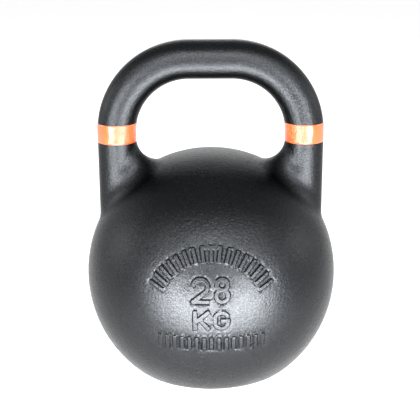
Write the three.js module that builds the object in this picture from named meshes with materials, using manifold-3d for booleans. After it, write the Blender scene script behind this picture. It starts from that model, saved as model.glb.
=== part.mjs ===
// Competition kettlebell, 28 kg: one hollow steel casting with a colour band on each side of the handle.
// The core is filled through the base, trimmed to weight with bonded steel shot and closed by a plug.
// Millimetres. +Z is up, X runs along the handle, and the numbered face looks along -Y.
// The origin is the centre of the base, on the surface that the bell stands on.
import * as THREE from "three";
import { mergeVertices } from "three/addons/utils/BufferGeometryUtils.js";
import { ParametricGeometry } from "three/addons/geometries/ParametricGeometry.js";
import Module from "manifold-3d";

// ---- driving dimensions ----
const BALL_RADIUS = 105;
const BALL_CENTRE_HEIGHT = 83;
const TOTAL_HEIGHT = 280;
const GRIP_DIAMETER = 31.8;
const HANDLE_WIDTH = 186.6;
const CORNER_RADIUS = 60; // of the handle's centre line
const FILLET_RADIUS = 18.2; // where each leg of the handle flows into the ball
const BASE_EDGE_RADIUS = 22; // rounds the machined base into the ball

const CORE_RADIUS = 72;
const CORE_CENTRE_HEIGHT = 87;
const CORE_HOLE_RADIUS = 20;
const BASE_RECESS_RADIUS = 31;
const BASE_RECESS_DEPTH = 9;

const PLUG_HEAD_RADIUS = 27;
const PLUG_HEAD_THICKNESS = 4;
const PLUG_HEAD_INSET = 2.5; // from the base up to the head
const PLUG_SHANK_LENGTH = 11;
const PLUG_SOCKET_WIDTH = 17; // across the flats of the hexagon
const PLUG_SOCKET_DEPTH = 8;

const BAND_CENTRE_HEIGHT = 204.4;
const BAND_WIDTH = 15.6;
const BAND_THICKNESS = 0.5;
const BALLAST_DEPTH = 35; // from the top of the core down
const FILL_CLEARANCE = 0.9; // between the filling and the wall of the core

const MARK_RELIEF = 0.9; // how far the cast marks stand out of the ball
const MARK_STROKE = 3.4;
const NUMERAL_HEIGHT = 20.4;
const NUMERAL_WIDTH = 14.4;
const NUMERAL_BASELINE = 93.5;
const UNIT_HEIGHT = 16.4;
const UNIT_WIDTH = 13.2;
const UNIT_BASELINE = 71.8;
const LETTER_SPACE = 2.2;
const ARCH_CENTRE_HEIGHT = 82.4;
const ARCH_INNER_RADIUS = 42.2;
const ARCH_HALF_ANGLE = THREE.MathUtils.degToRad(62);
const ARCH_RIBS = 17;
const ROW_HALF_WIDTH = 40;
const ROW_BASELINE = 53.8;
const ROW_RIBS = 15;
const RIB_LENGTH = 11.6;
const RIB_WIDTH = 3;

const GAP = 0.3; // between pieces that touch
const BALL_SEGMENTS = 60;
const GRIP_SEGMENTS = 28;
const HANDLE_STEPS = 48;
const CORE_SEGMENTS = 28;
const DISC_SEGMENTS = 40;

// ---- values that follow from them ----
const gripRadius = GRIP_DIAMETER / 2;
const legX = HANDLE_WIDTH / 2 - gripRadius;
const barHeight = TOTAL_HEIGHT - gripRadius;
const plugHeadTop = PLUG_HEAD_INSET + PLUG_HEAD_THICKNESS;
const plugTop = plugHeadTop + PLUG_SHANK_LENGTH;
const fillRadius = CORE_RADIUS - FILL_CLEARANCE;
const ballastBottom = CORE_CENTRE_HEIGHT + fillRadius - BALLAST_DEPTH;

const wasm = await Module();
wasm.setup();

// ---- joining and cutting ----

// A closed geometry as a solid that can be joined and cut.
function toSolid(geometry) {
  const bare = new THREE.BufferGeometry();
  bare.setAttribute("position", geometry.getAttribute("position"));
  bare.setIndex(geometry.index);
  const merged = mergeVertices(bare, 1e-4);
  const corners = merged.index.array;
  const triVerts = [];
  for (let i = 0; i < corners.length; i += 3) {
    const [a, b, c] = corners.slice(i, i + 3);
    if (a !== b && b !== c && c !== a) triVerts.push(a, b, c);
  }
  return new wasm.Manifold(
    new wasm.Mesh({
      numProp: 3,
      vertProperties: merged.attributes.position.array,
      triVerts: new Uint32Array(triVerts),
    }),
  );
}

// A solid as a flat-shaded geometry.
function toGeometry(solid) {
  const mesh = solid.getMesh();
  const shared = new THREE.BufferGeometry();
  shared.setAttribute("position", new THREE.BufferAttribute(mesh.vertProperties, 3));
  shared.setIndex(new THREE.BufferAttribute(mesh.triVerts, 1));
  const flat = shared.toNonIndexed();
  flat.computeVertexNormals();
  return flat;
}

// ---- solids turned about the vertical axis ----

function point(radius, height) {
  return new THREE.Vector2(radius, height);
}

function arcPoints(centreRadius, centreHeight, radius, from, to, steps) {
  return Array.from({ length: steps + 1 }, (_, i) => {
    const angle = THREE.MathUtils.lerp(from, to, i / steps);
    const reach = centreRadius + radius * Math.cos(angle);
    return point(Math.abs(reach) < 1e-9 ? 0 : reach, centreHeight + radius * Math.sin(angle));
  });
}

// The profile's points run up the outside.
function turned(profile, segments) {
  return toSolid(new THREE.LatheGeometry(profile, segments).rotateX(Math.PI / 2));
}

function disc(radius, bottom, top) {
  const profile = [point(0, bottom), point(radius, bottom), point(radius, top), point(0, top)];
  return turned(profile, DISC_SEGMENTS);
}

// A slice of a ball between two heights, with flat ends.
function ballSlice(radius, centreHeight, bottom, top, steps, segments) {
  const from = Math.asin(THREE.MathUtils.clamp((bottom - centreHeight) / radius, -1, 1));
  const to = Math.asin(THREE.MathUtils.clamp((top - centreHeight) / radius, -1, 1));
  const side = arcPoints(0, centreHeight, radius, from, to, steps);
  const profile = [point(0, bottom), ...side, point(0, top)];
  const distinct = profile.filter((p, i) => i === 0 || p.distanceTo(profile[i - 1]) > 1e-6);
  return turned(distinct, segments);
}

// ---- the casting ----

// A flat base, a rounded edge that meets the sphere smoothly, then the sphere up to its pole.
function ballBody(relief = 0) {
  const radius = BALL_RADIUS + relief;
  const drop = BALL_CENTRE_HEIGHT - BASE_EDGE_RADIUS;
  const flatRadius = Math.sqrt((radius - BASE_EDGE_RADIUS) ** 2 - drop ** 2);
  const join = -Math.atan2(drop, flatRadius);
  const edge = arcPoints(flatRadius, BASE_EDGE_RADIUS, BASE_EDGE_RADIUS, -Math.PI / 2, join, 3);
  const side = arcPoints(0, BALL_CENTRE_HEIGHT, radius, join, Math.PI / 2, 24).slice(1);
  return turned([point(0, 0), ...edge, ...side], BALL_SEGMENTS);
}

// The handle's centre line between two distances, measured along it from the foot of the left leg.
class HandleLine extends THREE.Curve {
  static foot = 118;
  static leg = barHeight - CORNER_RADIUS - HandleLine.foot;
  static corner = (CORNER_RADIUS * Math.PI) / 2;
  static halfLength = HandleLine.leg + HandleLine.corner + legX - CORNER_RADIUS;

  constructor(from, to) {
    super();
    this.from = from;
    this.to = to;
  }

  getPoint(t, target = new THREE.Vector3()) {
    const { foot, leg, corner, halfLength } = HandleLine;
    const offCentre = THREE.MathUtils.lerp(this.from, this.to, t) - halfLength;
    const side = Math.sign(offCentre);
    const travelled = halfLength - Math.abs(offCentre);
    if (travelled < leg) return target.set(side * legX, 0, foot + travelled);
    if (travelled > leg + corner) return target.set(offCentre, 0, barHeight);
    const turn = (travelled - leg) / CORNER_RADIUS;
    const reach = legX - CORNER_RADIUS * (1 - Math.cos(turn));
    const rise = CORNER_RADIUS * (1 - Math.sin(turn));
    return target.set(side * reach, 0, barHeight - rise);
  }
}

function circle(radius) {
  return new THREE.Shape().absarc(0, 0, radius, 0, 2 * Math.PI);
}

// three.js gives a full circle twice as many points as curveSegments.
function alongHandle(section, from, to, steps) {
  return new THREE.ExtrudeGeometry(section, {
    extrudePath: new HandleLine(from, to),
    steps,
    curveSegments: GRIP_SEGMENTS / 2,
  });
}

// The fillet round the foot of a leg is traced by a ball of FILLET_RADIUS that rolls round the leg while
// it touches both the leg and the bell. Its surface closes inside the metal above and below.
function legFillet(side) {
  const arcSteps = 7;
  const sink = 0.05; // keeps the upper edge just under the surface of the leg
  const reach = gripRadius + FILLET_RADIUS;
  const ballCentre = new THREE.Vector3(0, 0, BALL_CENTRE_HEIGHT);
  const stillness = new THREE.Quaternion();
  const trace = (u, v, target) => {
    const stage = Math.round(v * (arcSteps + 2));
    if (stage === 0) return target.set(side * legX, 0, BALL_CENTRE_HEIGHT + 29);
    if (stage === arcSteps + 2) return target.set(side * legX, 0, barHeight - CORNER_RADIUS - 15);
    const around = u * 2 * Math.PI;
    const rolling = new THREE.Vector3(side * legX + reach * Math.cos(around), reach * Math.sin(around), 0);
    const lift = Math.sqrt((BALL_RADIUS + FILLET_RADIUS) ** 2 - rolling.lengthSq());
    rolling.z = BALL_CENTRE_HEIGHT + lift;
    const toBall = ballCentre.clone().sub(rolling).normalize();
    const toLeg = new THREE.Vector3(-Math.cos(around), -Math.sin(around), 0);
    const sweep = new THREE.Quaternion().setFromUnitVectors(toBall, toLeg);
    const partWay = stillness.clone().slerp(sweep, (stage - 1) / arcSteps);
    const radius = FILLET_RADIUS + (stage === arcSteps + 1 ? sink : 0);
    return target.copy(toBall).applyQuaternion(partWay).multiplyScalar(radius).add(rolling);
  };
  return toSolid(new ParametricGeometry(trace, GRIP_SEGMENTS, arcSteps + 2));
}

// ---- the raised marks, drawn as strokes on the upright plane through the handle ----

function bar(x1, z1, x2, z2, width = MARK_STROKE) {
  const along = new THREE.Vector2(x2 - x1, z2 - z1).setLength(width / 2);
  const across = new THREE.Vector2(-along.y, along.x);
  return new THREE.Shape([
    new THREE.Vector2(x1, z1).sub(along).sub(across),
    new THREE.Vector2(x2, z2).add(along).sub(across),
    new THREE.Vector2(x2, z2).add(along).add(across),
    new THREE.Vector2(x1, z1).sub(along).add(across),
  ]);
}

function bow(x, z, radius, from, to) {
  const shape = new THREE.Shape();
  shape.absarc(x, z, radius + MARK_STROKE / 2, from, to, false);
  shape.absarc(x, z, radius - MARK_STROKE / 2, to, from, true);
  return shape;
}

function loop(x, z, radius) {
  const shape = new THREE.Shape().absarc(x, z, radius + MARK_STROKE / 2, 0, 2 * Math.PI);
  shape.holes.push(new THREE.Path().absarc(x, z, radius - MARK_STROKE / 2, 0, 2 * Math.PI));
  return shape;
}

function two(x, baseline) {
  const radius = (NUMERAL_WIDTH - MARK_STROKE) / 2;
  const bottom = baseline + MARK_STROKE / 2;
  const bowZ = baseline + NUMERAL_HEIGHT - MARK_STROKE / 2 - radius;
  const reach = Math.hypot(radius, bowZ - bottom);
  const tangent = Math.atan2(bottom - bowZ, -radius) + Math.acos(radius / reach);
  return [
    bow(x, bowZ, radius, tangent, THREE.MathUtils.degToRad(170)),
    bar(x - radius, bottom, x + radius * Math.cos(tangent), bowZ + radius * Math.sin(tangent)),
    bar(x - radius, bottom, x + radius, bottom),
  ];
}

function eight(x, baseline) {
  const spread = (NUMERAL_HEIGHT - MARK_STROKE) / 2;
  const lower = spread * 0.53;
  const upper = spread - lower;
  const bottom = baseline + MARK_STROKE / 2;
  return [loop(x, bottom + lower, lower), loop(x, bottom + 2 * lower + upper, upper)];
}

function letterK(x, baseline) {
  const half = (UNIT_WIDTH - MARK_STROKE) / 2;
  const bottom = baseline + MARK_STROKE / 2;
  const top = baseline + UNIT_HEIGHT - MARK_STROKE / 2;
  const waist = THREE.MathUtils.lerp(bottom, top, 0.38);
  const knee = THREE.MathUtils.lerp(waist, top, 0.35);
  return [
    bar(x - half, bottom, x - half, top),
    bar(x - half, waist, x + half, top),
    bar(x - 0.3 * half, knee, x + half, bottom),
  ];
}

function letterG(x, baseline) {
  const half = (UNIT_WIDTH - MARK_STROKE) / 2;
  const low = baseline + MARK_STROKE / 2 + half;
  const high = baseline + UNIT_HEIGHT - MARK_STROKE / 2 - half;
  return [
    bow(x, high, half, THREE.MathUtils.degToRad(25), Math.PI),
    bar(x - half, low, x - half, high),
    bow(x, low, half, Math.PI, 2 * Math.PI),
    bar(x + half, low, x + half, low + 0.3 * half),
    bar(x + 0.2 * half, low + 0.3 * half, x + half, low + 0.3 * half),
  ];
}

function archRib(i) {
  const angle = THREE.MathUtils.lerp(-ARCH_HALF_ANGLE, ARCH_HALF_ANGLE, i / (ARCH_RIBS - 1));
  const [x, z] = [Math.sin(angle), Math.cos(angle)];
  const inner = ARCH_INNER_RADIUS + RIB_WIDTH / 2;
  const outer = ARCH_INNER_RADIUS + RIB_LENGTH - RIB_WIDTH / 2;
  const lift = ARCH_CENTRE_HEIGHT;
  return bar(inner * x, lift + inner * z, outer * x, lift + outer * z, RIB_WIDTH);
}

function rowRib(i) {
  const x = THREE.MathUtils.lerp(-ROW_HALF_WIDTH, ROW_HALF_WIDTH, i / (ROW_RIBS - 1));
  const bottom = ROW_BASELINE + RIB_WIDTH / 2;
  return bar(x, bottom, x, bottom + RIB_LENGTH - RIB_WIDTH, RIB_WIDTH);
}

// Each stroke is carried forward and trimmed to a skin that stands MARK_RELIEF out of the ball.
function raisedMarks() {
  const numeralX = (NUMERAL_WIDTH + LETTER_SPACE) / 2;
  const unitX = (UNIT_WIDTH + LETTER_SPACE) / 2;
  const strokes = [
    ...two(-numeralX, NUMERAL_BASELINE),
    ...eight(numeralX, NUMERAL_BASELINE),
    ...letterK(-unitX, UNIT_BASELINE),
    ...letterG(unitX, UNIT_BASELINE),
    ...Array.from({ length: ARCH_RIBS }, (_, i) => archRib(i)),
    ...Array.from({ length: ROW_RIBS }, (_, i) => rowRib(i)),
  ];
  const rear = 78; // behind the skin everywhere, ahead of the core
  const solids = strokes.map((shape) => {
    const depth = BALL_RADIUS + 2 - rear;
    const slab = new THREE.ExtrudeGeometry(shape, { depth, bevelEnabled: false, curveSegments: 7 });
    return toSolid(slab.rotateX(Math.PI / 2).translate(0, -rear, 0));
  });
  return wasm.Manifold.union(solids).intersect(ballBody(MARK_RELIEF));
}

function bellCasting() {
  const handle = toSolid(alongHandle(circle(gripRadius), 0, 2 * HandleLine.halfLength, HANDLE_STEPS));
  const outside = [ballBody(), handle, legFillet(-1), legFillet(1), raisedMarks()];
  const core = ballSlice(
    CORE_RADIUS,
    CORE_CENTRE_HEIGHT,
    CORE_CENTRE_HEIGHT - CORE_RADIUS,
    CORE_CENTRE_HEIGHT + CORE_RADIUS,
    14,
    CORE_SEGMENTS,
  );
  const hole = disc(CORE_HOLE_RADIUS, -1, CORE_CENTRE_HEIGHT);
  const recess = disc(BASE_RECESS_RADIUS, -1, BASE_RECESS_DEPTH);
  const cuts = wasm.Manifold.union([core, hole, recess]);
  return toGeometry(wasm.Manifold.union(outside).subtract(cuts));
}

// ---- the separate pieces ----

// A wrap round the leg that follows the start of the handle's corner, with its edges level.
function colourBand(side) {
  const section = circle(gripRadius + GAP + BAND_THICKNESS);
  section.holes.push(new THREE.Path().absarc(0, 0, gripRadius + GAP, 0, 2 * Math.PI));
  const fromLeftFoot = BAND_CENTRE_HEIGHT - HandleLine.foot;
  const centre = side < 0 ? fromLeftFoot : 2 * HandleLine.halfLength - fromLeftFoot;
  const sleeve = alongHandle(section, centre - BAND_WIDTH, centre + BAND_WIDTH, 6);
  const level = new THREE.BoxGeometry(HANDLE_WIDTH * 1.5, GRIP_DIAMETER * 2, BAND_WIDTH);
  level.translate(0, 0, BAND_CENTRE_HEIGHT);
  return toGeometry(toSolid(sleeve).intersect(toSolid(level)));
}

// A flanged plug with a hexagon socket in its underside.
function corePlug() {
  const head = disc(PLUG_HEAD_RADIUS, PLUG_HEAD_INSET, plugHeadTop);
  const shank = disc(CORE_HOLE_RADIUS - GAP, plugHeadTop - 1, plugTop);
  const hexagon = new THREE.CylinderGeometry(
    PLUG_SOCKET_WIDTH / Math.sqrt(3),
    PLUG_SOCKET_WIDTH / Math.sqrt(3),
    PLUG_SOCKET_DEPTH + 1,
    6,
  );
  hexagon.rotateX(Math.PI / 2).translate(0, 0, PLUG_HEAD_INSET + (PLUG_SOCKET_DEPTH - 1) / 2);
  return toGeometry(head.add(shank).subtract(toSolid(hexagon)));
}

// The washer between the plug's head and the floor of the recess.
function plugSeal() {
  const inner = CORE_HOLE_RADIUS + GAP;
  const outer = PLUG_HEAD_RADIUS - GAP;
  const bottom = plugHeadTop + GAP;
  const top = BASE_RECESS_DEPTH - GAP;
  const profile = [
    point(inner, bottom),
    point(outer, bottom),
    point(outer, top),
    point(inner, top),
    point(inner, bottom),
  ];
  return new THREE.LatheGeometry(profile, DISC_SEGMENTS).rotateX(Math.PI / 2);
}

// Bonded steel shot, cast against the top of the core.
function trimBallast() {
  const top = CORE_CENTRE_HEIGHT + fillRadius;
  return toGeometry(ballSlice(fillRadius, CORE_CENTRE_HEIGHT, ballastBottom, top, 6, CORE_SEGMENTS));
}

// Packing that fills the rest of the core, so that nothing rattles.
function corePacking() {
  const bottom = plugTop + 1;
  const top = ballastBottom - GAP;
  return toGeometry(ballSlice(fillRadius, CORE_CENTRE_HEIGHT, bottom, top, 8, CORE_SEGMENTS));
}

// ---- materials ----

const powderCoat = { color: 0x2c2d2f, roughness: 0.5, metalness: 0.1 };
const orangeVinyl = { color: 0xff9a4a, roughness: 0.15, metalness: 0 };
const zincPlate = { color: 0xa9adb0, roughness: 0.35, metalness: 0.9 };
const blackRubber = { color: 0x161616, roughness: 0.7, metalness: 0 };
const steelShot = { color: 0x6f7275, roughness: 0.6, metalness: 0.6 };
const greyFelt = { color: 0x8c877e, roughness: 0.95, metalness: 0 };

function piece(name, geometry, look, x = 0) {
  const mesh = new THREE.Mesh(geometry, new THREE.MeshStandardMaterial(look));
  mesh.name = name;
  mesh.position.x = x;
  return mesh;
}

// ---- assembly ----

const kettlebell = new THREE.Group();
kettlebell.name = "kettlebell";
kettlebell.add(
  piece("bell_casting", bellCasting(), powderCoat),
  piece("left_colour_band", colourBand(-1), orangeVinyl),
  piece("right_colour_band", colourBand(1), orangeVinyl),
  piece("core_plug", corePlug(), zincPlate),
  piece("plug_seal", plugSeal(), blackRubber),
  piece("trim_ballast", trimBallast(), steelShot),
  piece("core_packing", corePacking(), greyFelt),
);

export default kettlebell;
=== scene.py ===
"""Competition kettlebell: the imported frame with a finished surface. Metres, +Z up, numbered face along -Y."""
import math

import bmesh
import bpy
import numpy as np
from mathutils import Matrix, Vector


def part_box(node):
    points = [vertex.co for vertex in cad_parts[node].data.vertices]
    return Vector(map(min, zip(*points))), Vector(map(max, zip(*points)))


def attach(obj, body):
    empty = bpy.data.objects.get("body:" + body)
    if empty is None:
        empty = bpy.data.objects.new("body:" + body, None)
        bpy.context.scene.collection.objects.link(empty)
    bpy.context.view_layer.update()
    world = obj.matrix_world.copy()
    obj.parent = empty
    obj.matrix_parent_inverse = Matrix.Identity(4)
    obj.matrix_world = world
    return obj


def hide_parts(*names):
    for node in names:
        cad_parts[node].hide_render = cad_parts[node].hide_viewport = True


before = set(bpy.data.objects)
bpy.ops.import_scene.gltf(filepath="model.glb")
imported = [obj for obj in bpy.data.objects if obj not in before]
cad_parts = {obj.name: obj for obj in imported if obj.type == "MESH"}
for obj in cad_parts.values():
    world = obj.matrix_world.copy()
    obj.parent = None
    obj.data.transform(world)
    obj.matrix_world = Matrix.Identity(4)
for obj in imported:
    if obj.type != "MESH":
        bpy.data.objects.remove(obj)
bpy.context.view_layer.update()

# ---- the bell's driving dimensions ----
BALL_RADIUS = 0.105
BALL_CENTRE = 0.083
TOTAL_HEIGHT = 0.280
GRIP_RADIUS = 0.0159
HANDLE_WIDTH = 0.1866
CORNER_RADIUS = 0.060
FILLET_RADIUS = 0.0182
BASE_EDGE_RADIUS = 0.022
CORE_RADIUS = 0.072
CORE_CENTRE = 0.087
CORE_HOLE_RADIUS = 0.020
RECESS_RADIUS = 0.031
RECESS_DEPTH = 0.009
LEG_X = HANDLE_WIDTH / 2 - GRIP_RADIUS
BAR_HEIGHT = TOTAL_HEIGHT - GRIP_RADIUS
BEND_HEIGHT = BAR_HEIGHT - CORNER_RADIUS
LEG_FOOT = 0.118  # inside the ball

# ---- the raised marks ----
RELIEF = 0.0009
STROKE = 0.0034
NUMERAL_HEIGHT = 0.0204
NUMERAL_WIDTH = 0.0144
NUMERAL_BASELINE = 0.0935
UNIT_HEIGHT = 0.0164
UNIT_WIDTH = 0.0132
UNIT_BASELINE = 0.0718
LETTER_SPACE = 0.0022
ARCH_CENTRE = 0.0824
ARCH_INNER_RADIUS = 0.0422
ARCH_HALF_ANGLE = math.radians(62)
ARCH_RIBS = 17
ROW_HALF_WIDTH = 0.040
ROW_BASELINE = 0.0538
ROW_RIBS = 15
RIB_LENGTH = 0.0116
RIB_WIDTH = 0.003

FLANK = 0.0009  # width of a mark's sloping side
COVE_DEPTH = 0.00045  # the narrow groove round the foot of each mark
COVE_WIDTH = 0.0004
MARKS_TOP = 0.15  # no mark reaches this high

SKIN = 0.0024  # size of the casting's quads
REFINED = 0.0019  # how far from a stroke the quads are split
GRADIENT_STEP = 1e-5
ROUND = 96  # sides of a turned piece

# ---- the view and the studio ----
CAMERA_DISTANCE = 0.9
CAMERA_SIDESTEP = -0.00075
FOCAL_LENGTH = 89.502857  # millimetres, for a sensor 36 mm wide
FLOOR_GLOW = 0.42


# ---- distance to the casting's surface: negative inside, zero on the skin ----

def ball_distance(p):
    """A sphere with a flat base whose edge is rounded."""
    r = np.hypot(p[:, 0], p[:, 1])
    z = p[:, 2]
    sphere = np.hypot(r, z - BALL_CENTRE) - BALL_RADIUS
    drop = BALL_CENTRE - BASE_EDGE_RADIUS
    flat = math.sqrt((BALL_RADIUS - BASE_EDGE_RADIUS) ** 2 - drop ** 2)
    out, up = r - flat, z - BASE_EDGE_RADIUS
    on_edge = (out > 0) & (np.arctan2(up, out) < -math.atan2(drop, flat))
    return np.where(on_edge, np.hypot(out, up) - BASE_EDGE_RADIUS, np.maximum(sphere, -z))


def handle_distance(p):
    """A round bar along two upright legs, two bends and a level grip."""
    x, z = np.abs(p[:, 0]), p[:, 2]
    bend_x = LEG_X - CORNER_RADIUS
    leg = np.hypot(x - LEG_X, np.minimum(z - LEG_FOOT, 0))
    grip = z - BAR_HEIGHT
    bend = np.hypot(x - bend_x, z - BEND_HEIGHT) - CORNER_RADIUS
    plane = np.where(z < BEND_HEIGHT, leg, np.where(x < bend_x, grip, bend))
    return np.hypot(plane, p[:, 1]) - GRIP_RADIUS


def bell_distance(p):
    """Ball and handle, with a ball of FILLET_RADIUS rolled round each foot of the handle."""
    plain = np.minimum(ball_distance(p), handle_distance(p))
    x, y, z = np.abs(p[:, 0]), p[:, 1], p[:, 2]
    reach = GRIP_RADIUS + FILLET_RADIUS
    span = BALL_RADIUS + FILLET_RADIUS
    around = np.arctan2(y, x - LEG_X)
    for _ in range(6):
        sin, cos = np.sin(around), np.cos(around)
        lift = np.sqrt(span ** 2 - LEG_X ** 2 - reach ** 2 - 2 * LEG_X * reach * cos)
        centre = np.stack([LEG_X + reach * cos, reach * sin, BALL_CENTRE + lift], 1)
        along = np.stack([-reach * sin, reach * cos, LEG_X * reach * sin / lift], 1)
        offset = np.stack([x, y, z], 1) - centre
        around = around + (offset * along).sum(1) / (along ** 2).sum(1)
    to_leg = np.stack([-cos, -sin, np.zeros_like(cos)], 1)
    to_ball = (np.array([0, 0, BALL_CENTRE]) - centre) / span
    a, b = (offset * to_leg).sum(1), (offset * to_ball).sum(1)
    c = (to_leg * to_ball).sum(1)
    depth = np.linalg.norm(offset, axis=1)
    between = (a > b * c) & (b > a * c) & (depth < 1.4 * FILLET_RADIUS) & (z > BALL_CENTRE)
    return np.where(between, FILLET_RADIUS - depth, plain)


def gradient(field, p):
    steps = np.eye(3) * GRADIENT_STEP
    slopes = [(field(p + s) - field(p - s)) / (2 * GRADIENT_STEP) for s in steps]
    return np.stack(slopes, 1)


def settle(p, field, level=0.0, rounds=3):
    """Moves points straight onto the surface where the field has that level."""
    for _ in range(rounds):
        g = gradient(field, p)
        p = p - g * ((field(p) - level) / np.maximum((g ** 2).sum(1), 1e-6))[:, None]
    return p


# ---- the marks as strokes on the upright plane through the handle ----

def bar(x1, z1, x2, z2, width=STROKE):
    """Distance to a straight stroke with square ends."""
    length = math.hypot(x2 - x1, z2 - z1)
    ux, uz = (x2 - x1) / length, (z2 - z1) / length

    def distance(x, z):
        along = np.abs((x - (x1 + x2) / 2) * ux + (z - (z1 + z2) / 2) * uz) - length / 2 - width / 2
        across = np.abs((z - (z1 + z2) / 2) * ux - (x - (x1 + x2) / 2) * uz) - width / 2
        outside = np.hypot(np.maximum(along, 0), np.maximum(across, 0))
        return outside + np.minimum(np.maximum(along, across), 0)
    return distance


def bow(cx, cz, radius, start, end):
    """Distance to an arc stroke, from one angle anticlockwise to another, with round ends."""
    middle, half = (start + end) / 2, (end - start) / 2

    def distance(x, z):
        turn = np.arctan2(z - cz, x - cx) - middle
        turn = (turn + math.pi) % (2 * math.pi) - math.pi
        held = np.clip(turn, -half, half) + middle
        nearest_x, nearest_z = cx + radius * np.cos(held), cz + radius * np.sin(held)
        return np.hypot(x - nearest_x, z - nearest_z) - STROKE / 2
    return distance


def two(x, baseline):
    radius = (NUMERAL_WIDTH - STROKE) / 2
    bottom = baseline + STROKE / 2
    bow_z = baseline + NUMERAL_HEIGHT - STROKE / 2 - radius
    reach = math.hypot(radius, bow_z - bottom)
    tangent = math.atan2(bottom - bow_z, -radius) + math.acos(radius / reach)
    end_x, end_z = x + radius * math.cos(tangent), bow_z + radius * math.sin(tangent)
    return [
        bow(x, bow_z, radius, tangent, math.radians(170)),
        bar(x - radius, bottom, end_x, end_z),
        bar(x - radius, bottom, x + radius, bottom),
    ]


def eight(x, baseline):
    spread = (NUMERAL_HEIGHT - STROKE) / 2
    lower = spread * 0.53
    upper = spread - lower
    bottom = baseline + STROKE / 2
    return [
        bow(x, bottom + lower, lower, -math.pi, math.pi),
        bow(x, bottom + 2 * lower + upper, upper, -math.pi, math.pi),
    ]


def letter_k(x, baseline):
    half = (UNIT_WIDTH - STROKE) / 2
    bottom = baseline + STROKE / 2
    top = baseline + UNIT_HEIGHT - STROKE / 2
    waist = bottom + (top - bottom) * 0.38
    knee = waist + (top - waist) * 0.35
    return [
        bar(x - half, bottom, x - half, top),
        bar(x - half, waist, x + half, top),
        bar(x - 0.3 * half, knee, x + half, bottom),
    ]


def letter_g(x, baseline):
    half = (UNIT_WIDTH - STROKE) / 2
    low = baseline + STROKE / 2 + half
    high = baseline + UNIT_HEIGHT - STROKE / 2 - half
    tongue = low + 0.3 * half
    return [
        bow(x, high, half, math.radians(25), math.pi),
        bar(x - half, low, x - half, high),
        bow(x, low, half, -math.pi, 0),
        bar(x + half, low, x + half, tongue),
        bar(x + 0.2 * half, tongue, x + half, tongue),
    ]


def arch_rib(i):
    angle = ARCH_HALF_ANGLE * (2 * i / (ARCH_RIBS - 1) - 1)
    x, z = math.sin(angle), math.cos(angle)
    inner = ARCH_INNER_RADIUS + RIB_WIDTH / 2
    outer = ARCH_INNER_RADIUS + RIB_LENGTH - RIB_WIDTH / 2
    return bar(inner * x, ARCH_CENTRE + inner * z, outer * x, ARCH_CENTRE + outer * z, RIB_WIDTH)


def row_rib(i):
    x = ROW_HALF_WIDTH * (2 * i / (ROW_RIBS - 1) - 1)
    bottom = ROW_BASELINE + RIB_WIDTH / 2
    return bar(x, bottom, x, bottom + RIB_LENGTH - RIB_WIDTH, RIB_WIDTH)


def all_strokes():
    numeral_x = (NUMERAL_WIDTH + LETTER_SPACE) / 2
    unit_x = (UNIT_WIDTH + LETTER_SPACE) / 2
    return [
        *two(-numeral_x, NUMERAL_BASELINE),
        *eight(numeral_x, NUMERAL_BASELINE),
        *letter_k(-unit_x, UNIT_BASELINE),
        *letter_g(unit_x, UNIT_BASELINE),
        *[arch_rib(i) for i in range(ARCH_RIBS)],
        *[row_rib(i) for i in range(ROW_RIBS)],
    ]


STROKES = all_strokes()


def mark_distance(p):
    """Distance to the nearest stroke across the front of the ball; far away behind it."""
    nearest = np.full(len(p), 1.0)
    front = np.nonzero((p[:, 1] < -0.5 * BALL_RADIUS) & (p[:, 2] < MARKS_TOP))[0]
    for stroke in STROKES:
        nearest[front] = np.minimum(nearest[front], stroke(p[front, 0], p[front, 2]))
    return nearest


def relief_height(distance):
    """A sloping flank up to a flat top, and a narrow cove round its foot."""
    rise = np.clip(0.5 - distance / FLANK, 0, 1)
    cove = np.exp(-((distance - 0.8 * FLANK) / COVE_WIDTH) ** 2)
    return RELIEF * rise * rise * (3 - 2 * rise) - COVE_DEPTH * cove


# ---- mesh helpers ----

def coords(mesh):
    flat = np.empty(len(mesh.vertices) * 3, np.float32)
    mesh.vertices.foreach_get("co", flat)
    return flat.reshape(-1, 3).astype(np.float64)


def set_coords(mesh, p):
    mesh.vertices.foreach_set("co", p.astype(np.float32).ravel())
    mesh.update()


def new_object(name, data):
    obj = bpy.data.objects.new(name, data)
    bpy.context.scene.collection.objects.link(obj)
    return obj


def applied(obj):
    """The object's mesh with its modifiers applied, as a new mesh; the object goes."""
    depsgraph = bpy.context.evaluated_depsgraph_get()
    mesh = bpy.data.meshes.new_from_object(obj.evaluated_get(depsgraph))
    bpy.data.objects.remove(obj)
    return mesh


def turned(name, profile, segments):
    """A closed solid of revolution; the profile is (radius, height) points that start and end on the axis."""
    bm = bmesh.new()
    rings = []
    for radius, height in profile:
        if radius < 1e-7:
            rings.append([bm.verts.new((0, 0, height))])
            continue
        angles = [2 * math.pi * k / segments for k in range(segments)]
        rings.append([bm.verts.new((radius * math.cos(a), radius * math.sin(a), height)) for a in angles])
    for lower, upper in zip(rings, rings[1:]):
        for k in range(segments):
            j = (k + 1) % segments
            below = [lower[k % len(lower)], lower[j % len(lower)]]
            above = [upper[j % len(upper)], upper[k % len(upper)]]
            corners = list(dict.fromkeys(below + above))
            if len(corners) > 2:
                bm.faces.new(corners)
    bmesh.ops.recalc_face_normals(bm, faces=bm.faces)
    mesh = bpy.data.meshes.new(name)
    bm.to_mesh(mesh)
    bm.free()
    return mesh


def arc(cx, cz, radius, start, end, steps):
    angles = np.linspace(math.radians(start), math.radians(end), steps + 1)
    return [(cx + radius * math.cos(a), cz + radius * math.sin(a)) for a in angles]


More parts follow.
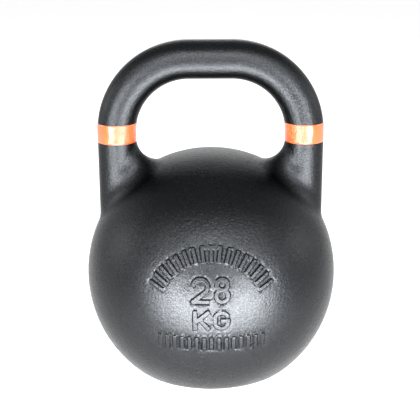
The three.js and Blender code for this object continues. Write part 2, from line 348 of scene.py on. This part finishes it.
def difference(obj, cutter_mesh):
    cutter = new_object("cutter", cutter_mesh)
    cut = obj.modifiers.new("cut", "BOOLEAN")
    cut.operation = "DIFFERENCE"
    cut.solver = "EXACT"
    cut.object = cutter
    cut.material_mode = "TRANSFER"
    name = obj.name
    mesh = applied(obj)
    bpy.data.objects.remove(cutter)
    return new_object(name, mesh)


def smooth(obj, angle=None):
    for polygon in obj.data.polygons:
        polygon.use_smooth = True
    if angle is not None:
        obj.data.set_sharp_from_angle(angle=math.radians(angle))


# ---- the casting ----

def filled_skin():
    """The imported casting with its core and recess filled, as one even skin of quads."""
    bm = bmesh.new()
    bm.from_mesh(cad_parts["bell_casting"].data)
    place = Matrix.Translation((0, 0, BALL_CENTRE))
    filling = bmesh.ops.create_uvsphere(
        bm, u_segments=64, v_segments=48, radius=0.96 * BALL_RADIUS, matrix=place,
    )
    for vertex in filling["verts"]:
        vertex.co.z = max(vertex.co.z, 0)
    mesh = bpy.data.meshes.new("filled")
    bm.to_mesh(mesh)
    bm.free()
    mesh.materials.clear()
    obj = new_object("filled", mesh)
    skin = obj.modifiers.new("skin", "REMESH")
    skin.mode = "VOXEL"
    skin.voxel_size = SKIN
    return applied(obj)


def relax(mesh, rounds):
    """Evens out the quads while they stay on the true surface."""
    for _ in range(rounds):
        bm = bmesh.new()
        bm.from_mesh(mesh)
        for _ in range(3):
            bmesh.ops.smooth_vert(
                bm, verts=bm.verts, factor=0.5, use_axis_x=True, use_axis_y=True, use_axis_z=True,
            )
        bm.to_mesh(mesh)
        bm.free()
        set_coords(mesh, settle(coords(mesh), bell_distance))


def refine_marks(mesh):
    """Splits each quad under and beside a stroke into 36."""
    near = mark_distance(coords(mesh)) < REFINED
    bm = bmesh.new()
    bm.from_mesh(mesh)
    bm.verts.ensure_lookup_table()
    edges = [e for e in bm.edges if near[e.verts[0].index] and near[e.verts[1].index]]
    bmesh.ops.subdivide_edges(bm, edges=edges, cuts=5, use_grid_fill=True)
    bm.to_mesh(mesh)
    bm.free()


def snap_to_outlines(p):
    """Draws the points beside the foot and the top of each flank onto it, so that the outlines run clean."""
    step = 0.0002
    for level in (FLANK / 2, -FLANK / 2):
        away = mark_distance(p) - level
        near = np.abs(away) < step
        held = p[near]
        for axis in (0, 2):
            shift = np.eye(3)[axis] * GRADIENT_STEP
            slope = (mark_distance(held + shift) - mark_distance(held - shift)) / (2 * GRADIENT_STEP)
            p[near, axis] -= slope * away[near]
    return settle(p, bell_distance)


def raise_marks(mesh):
    p = snap_to_outlines(settle(coords(mesh), bell_distance))
    set_coords(mesh, p + gradient(bell_distance, p) * relief_height(mark_distance(p))[:, None])


def core_cutter():
    """The core, its hole and the recess in the base, with a chamfer at the mouth of each."""
    chamfer = 0.0012
    corner = 0.0008
    core_start = -math.degrees(math.acos(CORE_HOLE_RADIUS / CORE_RADIUS))
    profile = [
        (0, -0.01),
        (RECESS_RADIUS + chamfer + 0.01, -0.01),
        (RECESS_RADIUS, chamfer),
        (RECESS_RADIUS, RECESS_DEPTH - corner),
        (RECESS_RADIUS - corner, RECESS_DEPTH),
        (CORE_HOLE_RADIUS + chamfer, RECESS_DEPTH),
        (CORE_HOLE_RADIUS, RECESS_DEPTH + chamfer),
        *arc(0, CORE_CENTRE, CORE_RADIUS, core_start, 90, 24),
    ]
    profile[-1] = (0, CORE_CENTRE + CORE_RADIUS)
    return turned("core_cutter", profile, ROUND)


def bell():
    mesh = filled_skin()
    set_coords(mesh, settle(coords(mesh), bell_distance, rounds=5))
    relax(mesh, 3)
    refine_marks(mesh)
    raise_marks(mesh)
    mesh.materials.append(powder_coat())
    cutter = core_cutter()
    cutter.materials.append(raw_iron())
    obj = difference(new_object("bell_finished", mesh), cutter)
    smooth(obj, 40)
    return obj


# ---- colour bands ----

def colour_band(side, low, high):
    """A strip of vinyl wound once round the leg, with level edges and its end lapped over at the back."""
    thickness, ripple_height = 0.00028, 0.000016
    gap = 0.00004  # between the strip and the leg
    lap_start, lap_end, lap_edge = math.radians(78), math.radians(104), 0.012
    around, across = 240, 26
    random = np.random.default_rng(5 if side < 0 else 8)
    angles = np.linspace(0, 2 * math.pi, around, endpoint=False)
    # across the strip: up the inside, a rounded edge, down the outside, a rounded edge
    heights = np.concatenate([np.linspace(low, high, across), np.linspace(high, low, across)])
    outside = np.concatenate([np.zeros(across), np.ones(across)])
    edge = np.minimum(heights - low, high - heights)
    rounded = np.clip(edge / 0.0004, 0, 1) ** 0.5
    lap = (1 + np.tanh((angles - lap_start) / lap_edge)) * (1 - np.tanh((angles - lap_end) / lap_edge)) / 4
    phases = random.uniform(0, 2 * math.pi, (7, 2))
    rows = []
    for height, out, round_off in zip(heights, outside, rounded):
        ripple = sum(
            np.sin((3 + 4 * k) * angles + (height - low) * (500 + 230 * k) * (-1) ** k + phases[k, 0])
            * np.sin((height - low) * (300 + 170 * k) + phases[k, 1])
            for k in range(7)
        )
        level = gap + out * round_off * (thickness * (1 + lap) + ripple_height * ripple)
        reach = GRIP_RADIUS + level
        ring_x = side * LEG_X + reach * np.cos(angles)
        ring = np.stack([ring_x, reach * np.sin(angles), np.full(around, height)], 1)
        for _ in range(4):
            g = gradient(handle_distance, ring)
            g[:, 2] = 0
            ring = ring - g * (handle_distance(ring) - level)[:, None]
        rows.append(ring)
    count = len(rows)
    faces = [
        (i * around + j, i * around + (j + 1) % around, (i + 1) % count * around + (j + 1) % around,
         (i + 1) % count * around + j)
        for i in range(count) for j in range(around)
    ]
    name = "left_band_wrap" if side < 0 else "right_band_wrap"
    mesh = bpy.data.meshes.new(name)
    mesh.from_pydata(np.concatenate(rows).tolist(), [], faces)
    bm = bmesh.new()
    bm.from_mesh(mesh)
    bmesh.ops.recalc_face_normals(bm, faces=bm.faces)
    bm.to_mesh(mesh)
    bm.free()
    obj = new_object(name, mesh)
    smooth(obj, 50)
    return obj


# ---- the plug in the base ----

def hexagon(name, width, low, high):
    bm = bmesh.new()
    place = Matrix.Translation((0, 0, (low + high) / 2))
    radius = width / math.sqrt(3)
    bmesh.ops.create_cone(
        bm, cap_ends=True, segments=6, radius1=radius, radius2=radius, depth=high - low, matrix=place,
    )
    mesh = bpy.data.meshes.new(name)
    bm.to_mesh(mesh)
    bm.free()
    return mesh


def plug():
    """A flanged plug with a chamfered head, a relieved socket and threads round its shank."""
    low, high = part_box("core_plug")
    head_radius = high[0]
    head_top = low[2] + 0.004
    chamfer = 0.0007
    socket_width, socket_depth = 0.017, 0.008
    shank = CORE_HOLE_RADIUS - 0.0004
    root = shank - 0.0012
    pitch = 0.002
    threads = []
    z = head_top + 0.002
    while z + pitch < high[2]:
        threads += [(root, z), (shank, z + 0.4 * pitch), (shank, z + 0.6 * pitch)]
        z += pitch
    profile = [
        (0, low[2]),
        (0.0118, low[2]),
        (0.0124, low[2] + 0.0002),
        (0.0124, low[2] + 0.0007),
        (0.0130, low[2] + 0.0007),
        (0.0136, low[2]),
        (head_radius - chamfer, low[2]),
        (head_radius, low[2] + chamfer),
        (head_radius, head_top - chamfer),
        (head_radius - chamfer, head_top),
        (root, head_top),
        *threads,
        (root, high[2]),
        (0, high[2]),
    ]
    obj = new_object("core_plug_turned", turned("plug", profile, ROUND))
    obj = difference(obj, hexagon("socket", socket_width, low[2] - 0.004, low[2] + socket_depth))
    mouth = [
        (0, low[2] - 0.002),
        (socket_width / math.sqrt(3) + 0.002, low[2] - 0.002),
        (socket_width / 2 - 0.0003, low[2] + 0.0014),
        (0, low[2] + 0.0014),
    ]
    obj = difference(obj, turned("mouth", mouth, ROUND))
    smooth(obj, 30)
    return obj


# ---- materials ----

class Nodes:
    """A short way to write a material's node tree."""

    def __init__(self, name):
        self.material = bpy.data.materials.new(name)
        self.material.use_nodes = True
        self.tree = self.material.node_tree
        self.tree.nodes.clear()
        self.position = self.add("ShaderNodeTexCoord").outputs["Object"]

    def add(self, kind, inputs=None, **settings):
        node = self.tree.nodes.new(kind)
        for key, value in settings.items():
            setattr(node, key, value)
        for key, value in (inputs or {}).items():
            if isinstance(value, bpy.types.NodeSocket):
                self.tree.links.new(value, node.inputs[key])
            else:
                node.inputs[key].default_value = value
        return node

    def noise(self, scale, detail=2.0, roughness=0.5, vector=None, distortion=0.0):
        """Scale is the number of lumps in a metre."""
        sockets = {
            "Vector": vector or self.position,
            "Scale": scale,
            "Detail": detail,
            "Roughness": roughness,
            "Distortion": distortion,
        }
        return self.add("ShaderNodeTexNoise", sockets).outputs["Fac"]

    def cells(self, scale, feature="F1"):
        return self.add("ShaderNodeTexVoronoi", {"Vector": self.position, "Scale": scale}, feature=feature)

    def spread(self, value, low, high, to_low=0.0, to_high=1.0):
        sockets = {"Value": value, "From Min": low, "From Max": high, "To Min": to_low, "To Max": to_high}
        return self.add("ShaderNodeMapRange", sockets, clamp=True).outputs["Result"]

    def maths(self, operation, a, b):
        return self.add("ShaderNodeMath", {0: a, 1: b}, operation=operation).outputs[0]

    def blend(self, factor, a, b):
        node = self.add("ShaderNodeMix", {0: factor}, data_type="RGBA")
        for socket, value in ((node.inputs[6], a), (node.inputs[7], b)):
            if isinstance(value, bpy.types.NodeSocket):
                self.tree.links.new(value, socket)
            else:
                socket.default_value = (*value, 1)
        return node.outputs[2]

    def bump(self, height, distance, strength=1.0, normal=None):
        sockets = {"Height": height, "Distance": distance, "Strength": strength}
        if normal is not None:
            sockets["Normal"] = normal
        return self.add("ShaderNodeBump", sockets).outputs["Normal"]

    def finish(self, **sockets):
        shader = self.add("ShaderNodeBsdfPrincipled", {k.replace("_", " "): v for k, v in sockets.items()})
        self.add("ShaderNodeOutputMaterial", {"Surface": shader.outputs[0]})
        return self.material


def powder_coat():
    """Satin black, as a very dark metal: the base colour is the share of light that it sends back."""
    n = Nodes("powder_coat")
    peel = n.noise(540, detail=1, roughness=0.5)
    grain = n.noise(900, detail=3, roughness=0.7)
    cast = n.noise(38, detail=2)
    patches = n.noise(26, detail=4, roughness=0.6)
    specks = n.spread(n.cells(210).outputs["Distance"], 0.06, 0.0)
    rare = n.spread(n.noise(60), 0.62, 0.66)
    nicks = n.maths("MULTIPLY", specks, rare)
    normal = n.bump(cast, 0.0012, 0.25)
    normal = n.bump(peel, 0.00026, 0.8, normal)
    normal = n.bump(grain, 0.00024, 0.9, normal)
    coat = n.blend(n.spread(grain, 0.36, 0.64), (0.0170, 0.0181, 0.0196), (0.0360, 0.0380, 0.0405))
    colour = n.blend(nicks, coat, (0.33, 0.33, 0.34))
    height = n.add("ShaderNodeSeparateXYZ", {"Vector": n.position}).outputs["Z"]
    handled = n.spread(height, 0.19, 0.22, 0.0, 0.03)  # the handle is a little duller than the ball
    rough = n.maths("ADD", n.spread(patches, 0.3, 0.7, 0.26, 0.29), handled)
    return n.finish(
        Base_Color=colour, Roughness=rough, Metallic=1.0, Normal=normal, Specular_Tint=(0.7, 0.7, 0.7, 1),
    )


def raw_iron():
    n = Nodes("raw_iron")
    sand = n.noise(700, detail=4, roughness=0.65)
    stain = n.noise(60, detail=5, roughness=0.65)
    colour = n.blend(n.spread(stain, 0.4, 0.65), (0.16, 0.155, 0.15), (0.13, 0.075, 0.045))
    rough = n.spread(stain, 0.3, 0.7, 0.5, 0.75)
    normal = n.bump(sand, 0.0003, 0.7)
    return n.finish(Base_Color=colour, Roughness=rough, Metallic=0.6, Normal=normal)


def orange_vinyl():
    """Glossy tape, smooth on the outer side of each leg and creased on the inner side."""
    n = Nodes("orange_vinyl")
    across = n.maths("ABSOLUTE", n.add("ShaderNodeSeparateXYZ", {"Vector": n.position}).outputs["X"], 0.0)
    creased = n.spread(across, LEG_X + 0.001, LEG_X - 0.003, 0.12, 1.0)
    folds = n.noise(620, detail=3, roughness=0.6, distortion=0.6)
    creases = n.maths("MULTIPLY", folds, creased)
    fine = n.noise(1100, detail=2)
    fade = n.noise(90, detail=3)
    colour = n.blend(n.spread(fade, 0.35, 0.65), (0.55, 0.058, 0.011), (0.53, 0.075, 0.018))
    rough = n.spread(folds, 0.35, 0.7, 0.10, 0.20)
    normal = n.bump(creases, 0.0008, 0.8)
    normal = n.bump(fine, 0.00005, 0.5, normal)
    return n.finish(Base_Color=colour, Roughness=rough, Normal=normal, Coat_Weight=0.6, Coat_Roughness=0.05)


def zinc_plate():
    n = Nodes("zinc_plate")
    radial = n.add("ShaderNodeVectorMath", {0: n.position, 1: (1, 1, 0)}, operation="MULTIPLY").outputs[0]
    distance = n.add("ShaderNodeVectorMath", {0: radial}, operation="LENGTH").outputs["Value"]
    rings = n.noise(2600, detail=2, vector=n.add("ShaderNodeCombineXYZ", {"X": distance}).outputs[0])
    stain = n.noise(130, detail=5, roughness=0.65)
    colour = n.blend(n.spread(stain, 0.45, 0.7), (0.56, 0.57, 0.57), (0.38, 0.36, 0.32))
    rough = n.spread(stain, 0.3, 0.7, 0.28, 0.45)
    normal = n.bump(rings, 0.00012, 0.5)
    return n.finish(Base_Color=colour, Roughness=rough, Metallic=1.0, Normal=normal)


def plain(name, colour, roughness, metallic=0.0):
    n = Nodes(name)
    mottle = n.noise(300, detail=4)
    dark = tuple(0.7 * c for c in colour)
    shade = n.blend(n.spread(mottle, 0.3, 0.7), colour, dark)
    rough = n.spread(mottle, 0.3, 0.7, roughness - 0.05, roughness + 0.05)
    return n.finish(Base_Color=shade, Roughness=rough, Metallic=metallic, Normal=n.bump(mottle, 0.0002, 0.6))


# ---- camera and studio ----

def camera():
    data = bpy.data.cameras.new("camera")
    obj = new_object("camera", data)
    elevation, pitch, roll = math.radians(20.56), math.radians(17.33), math.radians(-0.25)
    back, rise = CAMERA_DISTANCE * math.cos(elevation), CAMERA_DISTANCE * math.sin(elevation)
    obj.location = (CAMERA_SIDESTEP, -back, BALL_CENTRE + rise)
    look = Matrix.Rotation(math.pi / 2 - pitch, 3, "X") @ Matrix.Rotation(roll, 3, "Z")
    obj.rotation_euler = look.to_euler()
    data.sensor_width = 36
    data.lens = FOCAL_LENGTH
    bpy.context.scene.camera = obj


def floor_material():
    """White and lit from within, as a studio's light table is."""
    n = Nodes("floor")
    shade = n.blend(n.noise(3), (0.79, 0.79, 0.79), (0.81, 0.81, 0.81))
    return n.finish(
        Base_Color=shade, Roughness=0.9, Emission_Color=(1, 1, 1, 1), Emission_Strength=FLOOR_GLOW,
    )


def sky(horizon, zenith):
    """Even light that falls off from the horizon to the zenith."""
    world = bpy.data.worlds.new("world")
    world.use_nodes = True
    tree = world.node_tree
    direction = tree.nodes.new("ShaderNodeTexCoord").outputs["Generated"]
    split = tree.nodes.new("ShaderNodeSeparateXYZ")
    height = tree.nodes.new("ShaderNodeMapRange")
    height.interpolation_type = "SMOOTHSTEP"
    for name, value in {"From Min": 0.1, "From Max": 0.8, "To Min": horizon, "To Max": zenith}.items():
        height.inputs[name].default_value = value
    tree.nodes["Background"].inputs["Color"].default_value = (1, 1, 1, 1)
    tree.links.new(direction, split.inputs[0])
    tree.links.new(split.outputs["Z"], height.inputs["Value"])
    tree.links.new(height.outputs["Result"], tree.nodes["Background"].inputs["Strength"])
    bpy.context.scene.world = world


def soft_light(name, shape, size, power, location, rotation):
    data = bpy.data.lights.new(name, "AREA")
    data.shape = shape
    data.size, data.size_y = size
    data.energy = power
    obj = new_object(name, data)
    obj.location = location
    obj.rotation_euler = rotation
    obj.visible_camera = False


def panel(name, azimuth, elevation, distance, size, power):
    """A soft light aimed at the bell; azimuth 0 is in front of it and 90 is on the +X side."""
    around, up = math.radians(azimuth), math.radians(elevation)
    aim = Vector((0, 0, 0.12))
    away = Vector((math.cos(up) * math.sin(around), -math.cos(up) * math.cos(around), math.sin(up)))
    rotation = (-away).to_track_quat("-Z", "Y").to_euler()
    soft_light(name, "RECTANGLE", size, power, aim + distance * away, rotation)


def studio():
    half = 8
    corners = [(-half, -half, 0), (half, -half, 0), (half, half, 0), (-half, half, 0)]
    mesh = bpy.data.meshes.new("floor")
    mesh.from_pydata(corners, [], [(0, 1, 2, 3)])
    mesh.materials.append(floor_material())
    new_object("floor", mesh)
    sky(1.3, 0.45)
    panel("low_left", -33, 4, 0.8, (0.4, 0.34), 7.4)
    panel("low_right", 33, 4, 0.8, (0.4, 0.34), 8)
    panel("front_left", -42, 36, 1.4, (0.8, 0.6), 4)
    panel("front_middle", 0, 36, 1.4, (0.8, 0.6), 14)
    panel("front_right", 42, 36, 1.4, (0.8, 0.6), 5)
    panel("side_left", -95, 14, 1.4, (0.6, 0.5), 3)
    panel("side_right", 95, 14, 1.4, (0.6, 0.5), 2.4)
    panel("back", 180, 22, 1.5, (0.8, 0.4), 2.5)
    panel("back_high", 180, 44, 1.5, (0.8, 0.4), 1.6)
    # a low strip that faces the front of the ball, and a glow on the table before it
    soft_light("front_card", "RECTANGLE", (0.4, 0.09), 3.1, (0.02, -0.25, 0.048), (math.pi / 2, 0, 0))
    soft_light("table_light", "ELLIPSE", (0.3, 0.12), 0.8, (0.04, -0.22, 0.004), (math.pi, 0, 0))
    bpy.context.scene.view_settings.view_transform = "Standard"


# ---- assembly ----

camera()
studio()

body = bell()
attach(body, "root")
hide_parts("bell_casting")

ORANGE = orange_vinyl()
for side, node in ((-1, "left_colour_band"), (1, "right_colour_band")):
    low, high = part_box(node)
    band = colour_band(side, low[2], high[2])
    band.data.materials.append(ORANGE)
    band.visible_glossy = False  # no mirror image of it, which keeps its colour out of the ball's shoulders
    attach(band, "root")
    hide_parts(node)

core_plug = plug()
core_plug.data.materials.clear()
core_plug.data.materials.append(zinc_plate())
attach(core_plug, "root")
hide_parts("core_plug")

NODE_LOOKS = {
    "plug_seal": plain("rubber", (0.02, 0.02, 0.02), 0.7),
    "trim_ballast": plain("shot", (0.3, 0.3, 0.3), 0.6, 0.6),
    "core_packing": plain("felt", (0.4, 0.38, 0.34), 0.95),
}
for node, look in NODE_LOOKS.items():
    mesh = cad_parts[node].data
    mesh.materials.clear()
    mesh.materials.append(look)
